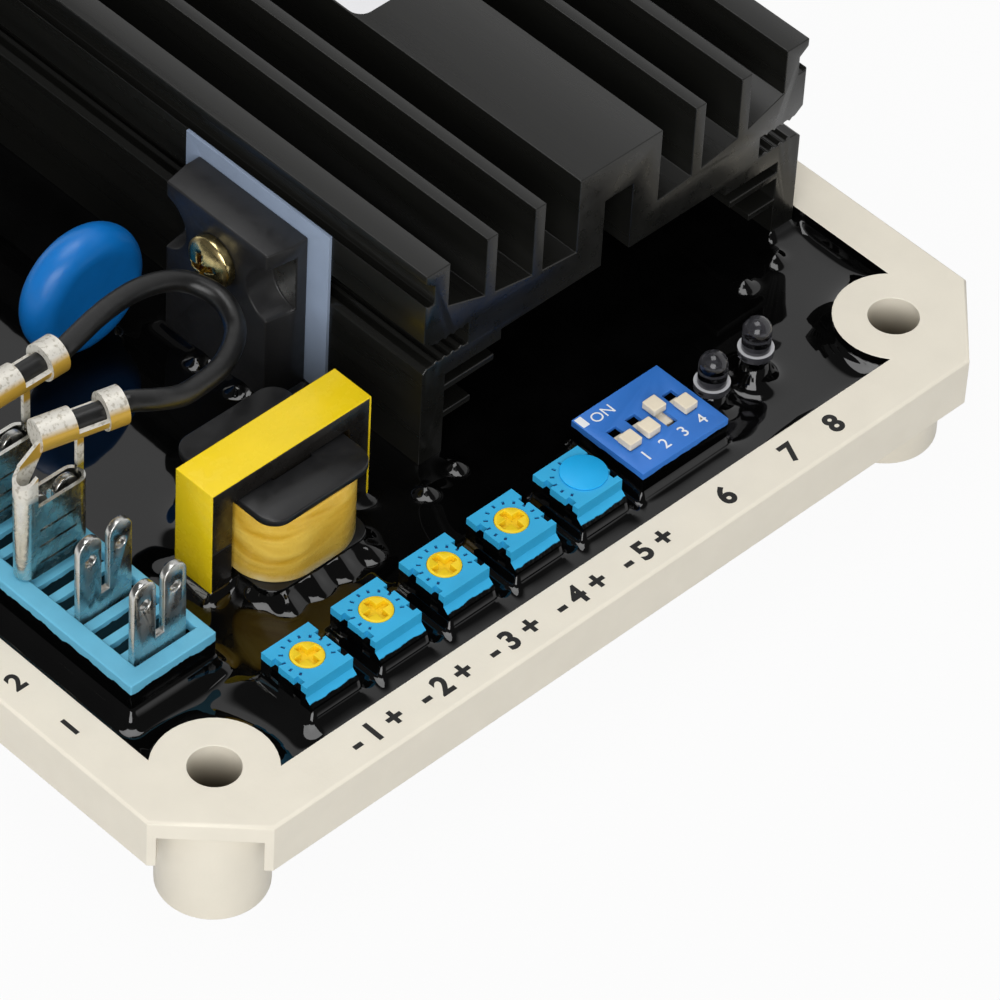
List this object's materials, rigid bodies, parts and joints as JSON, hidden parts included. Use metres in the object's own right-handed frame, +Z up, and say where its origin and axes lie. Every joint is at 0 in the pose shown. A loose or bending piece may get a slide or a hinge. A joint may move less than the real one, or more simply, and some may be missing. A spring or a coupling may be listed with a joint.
{
  "type": "automatic voltage regulator",
  "caption": "Potted generator voltage regulator: moulded tray with corner mounting holes, finned heatsink bridge, trimmers, setting switch, indicators and a row of push-on blades.",
  "frame": {"origin": "middle of the mounting plane under the four feet", "axes": "+X along the front edge to the right, +Y to the back, +Z up from the mounting plane"},
  "size_m": [0.11, 0.15, 0.0388],
  "materials": {
    "cream_case": "moulded, fine matt",
    "board": "laminate, hidden in the potting",
    "potting": "poured resin, glossy",
    "black_anodised": "black anodised extrusion",
    "pad": "filled silicone sheet",
    "black_mould": "moulded, satin",
    "tinned": "tin plated",
    "brass_screw": "yellow passivated",
    "ferrite": "sintered ferrite",
    "yellow_tape": "polyester tape",
    "amber_tape": "polyester tape over wire",
    "sky_blue": "moulded, satin",
    "rotor_yellow": "moulded, satin",
    "dip_blue": "moulded, satin",
    "slider_cream": "moulded, satin",
    "clear_lens": "clear moulded lens",
    "block_blue": "moulded, satin",
    "receptacle_brass": "tinned brass sheet",
    "black_wire": "stranded wire, insulated",
    "deep_blue": "epoxy coating"
  },
  "bodies": {
    "unit": {"case_tray": "cream_case", "circuit_board": "board", "potting_compound": "potting", "heatsink": "black_anodised", "insulator_pad": "pad", "power_device": "black_mould", "device_leads": "tinned", "device_screw": "brass_screw", "core_lower": "ferrite", "core_upper": "ferrite", "core_tape": "yellow_tape", "bobbin": "black_mould", "winding": "amber_tape", "transformer_pins": "tinned", "trimmer_body_1": "sky_blue", "trimmer_body_2": "sky_blue", "trimmer_body_3": "sky_blue", "trimmer_body_4": "sky_blue", "trimmer_body_5": "sky_blue", "trimmer_seal_5": "sky_blue", "trimmer_pins": "tinned", "dip_base": "black_mould", "dip_cover": "dip_blue", "dip_pins": "tinned", "led_1_lens": "clear_lens", "led_1_leads": "tinned", "led_2_lens": "clear_lens", "led_2_leads": "tinned", "terminal_block": "block_blue", "terminal_blades": "tinned", "receptacle_1": "receptacle_brass", "receptacle_2": "receptacle_brass", "link_wire": "black_wire", "varistor": "deep_blue", "varistor_leads": "tinned"},
    "trimmer_rotor_1": {"trimmer_rotor_1": "rotor_yellow"},
    "trimmer_rotor_2": {"trimmer_rotor_2": "rotor_yellow"},
    "trimmer_rotor_3": {"trimmer_rotor_3": "rotor_yellow"},
    "trimmer_rotor_4": {"trimmer_rotor_4": "rotor_yellow"},
    "dip_slider_1": {"dip_slider_1": "slider_cream"},
    "dip_slider_2": {"dip_slider_2": "slider_cream"},
    "dip_slider_3": {"dip_slider_3": "slider_cream"},
    "dip_slider_4": {"dip_slider_4": "slider_cream"}
  },
  "joints": [
    {"name": "trimmer_1_turn", "type": "hinge", "parent": "unit", "child": "trimmer_rotor_1", "pos_m": [-0.0312, -0.0626, 0.01775], "axis": [0, 0, 1], "range_deg": [-135, 135]},
    {"name": "trimmer_2_turn", "type": "hinge", "parent": "unit", "child": "trimmer_rotor_2", "pos_m": [-0.02232, -0.0626, 0.01775], "axis": [0, 0, 1], "range_deg": [-135, 135]},
    {"name": "trimmer_3_turn", "type": "hinge", "parent": "unit", "child": "trimmer_rotor_3", "pos_m": [-0.01344, -0.0626, 0.01775], "axis": [0, 0, 1], "range_deg": [-135, 135]},
    {"name": "trimmer_4_turn", "type": "hinge", "parent": "unit", "child": "trimmer_rotor_4", "pos_m": [-0.00456, -0.0626, 0.01775], "axis": [0, 0, 1], "range_deg": [-135, 135]},
    {"name": "dip_1_travel", "type": "slide", "parent": "unit", "child": "dip_slider_1", "axis": [0, 1, 0], "range_m": [0, 0.0018]},
    {"name": "dip_2_travel", "type": "slide", "parent": "unit", "child": "dip_slider_2", "axis": [0, 1, 0], "range_m": [0, 0.0018]},
    {"name": "dip_3_travel", "type": "slide", "parent": "unit", "child": "dip_slider_3", "axis": [0, 1, 0], "range_m": [-0.0018, 0]},
    {"name": "dip_4_travel", "type": "slide", "parent": "unit", "child": "dip_slider_4", "axis": [0, 1, 0], "range_m": [0, 0.0018]}
  ]
}
